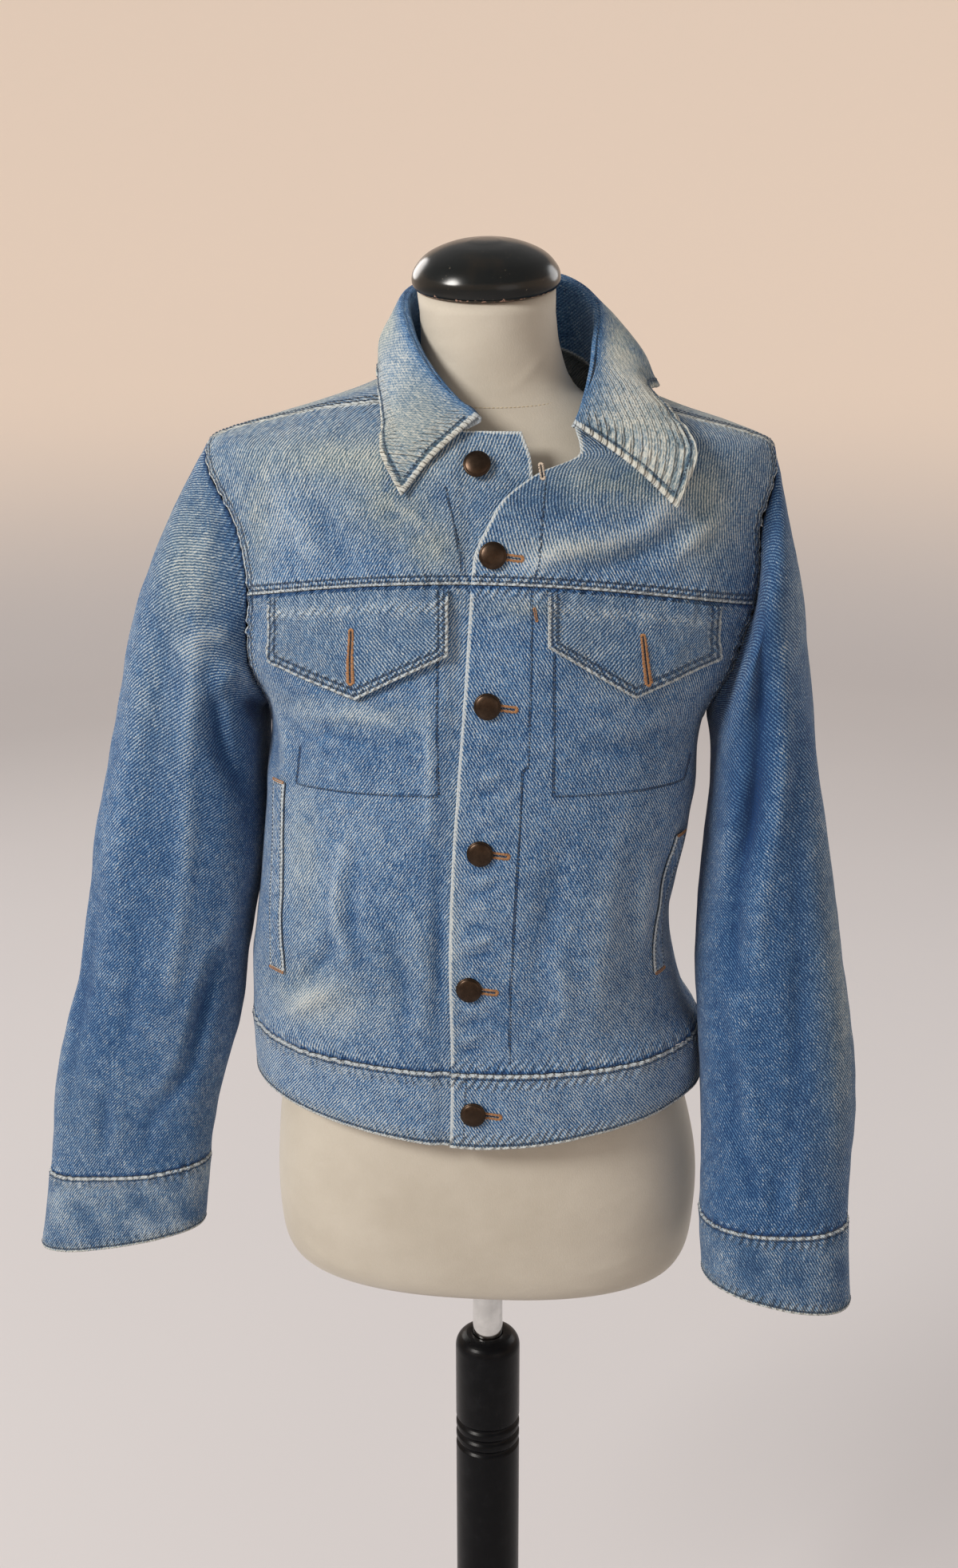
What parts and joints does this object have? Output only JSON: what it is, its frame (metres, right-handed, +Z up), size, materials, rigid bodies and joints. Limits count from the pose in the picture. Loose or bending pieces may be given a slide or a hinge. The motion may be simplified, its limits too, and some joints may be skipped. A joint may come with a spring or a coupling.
{
  "type": "denim jacket on a limbless dress form with a stand",
  "caption": "Light denim jacket with a pointed collar, pointed chest flaps and side welts, buttoned on a limbless dress form that turns and slides on a pole stand.",
  "frame": {"origin": "on the floor under the pole's axis, at the centre of the base's flat underside", "axes": "+Z up along the pole; the jacket's front faces -Y; +X is the viewer's right, the wearer's left"},
  "size_m": [0.6606, 0.38, 1.4766],
  "materials": {
    "denim": "matte",
    "worn_denim": "matte",
    "buttons": "satin",
    "jersey": "matte",
    "neck_cap": "gloss",
    "pole": "polished",
    "post": "satin",
    "base": "satin"
  },
  "bodies": {
    "stand": {"base": "base", "post": "post"},
    "pole": {"pole": "pole"},
    "figure": {"form": "jersey", "neck_cap": "neck_cap", "front_right": "denim", "front_left": "denim", "yoke_right": "denim", "yoke_left": "denim", "back": "denim", "sleeve_top_left": "denim", "sleeve_under_left": "denim", "sleeve_top_right": "denim", "sleeve_under_right": "denim", "waistband_right": "worn_denim", "waistband_left": "worn_denim", "waistband_back": "worn_denim", "flap_left": "worn_denim", "flap_right": "worn_denim", "welt_left": "worn_denim", "welt_right": "worn_denim", "cuff_left": "worn_denim", "cuff_right": "worn_denim", "collar": "worn_denim", "button_1": "buttons", "button_2": "buttons", "button_3": "buttons", "button_4": "buttons", "button_5": "buttons", "button_6": "buttons", "cuff_button_left": "buttons", "cuff_button_right": "buttons"}
  },
  "joints": [
    {"name": "height_slide", "type": "slide", "parent": "stand", "child": "pole", "axis": [0, 0, 1], "range_m": [-0.03, 0.2]},
    {"name": "form_swivel", "type": "hinge", "parent": "pole", "child": "figure", "pos_m": [0, 0, 0.7], "axis": [0, 0, 1], "continuous": true}
  ]
}
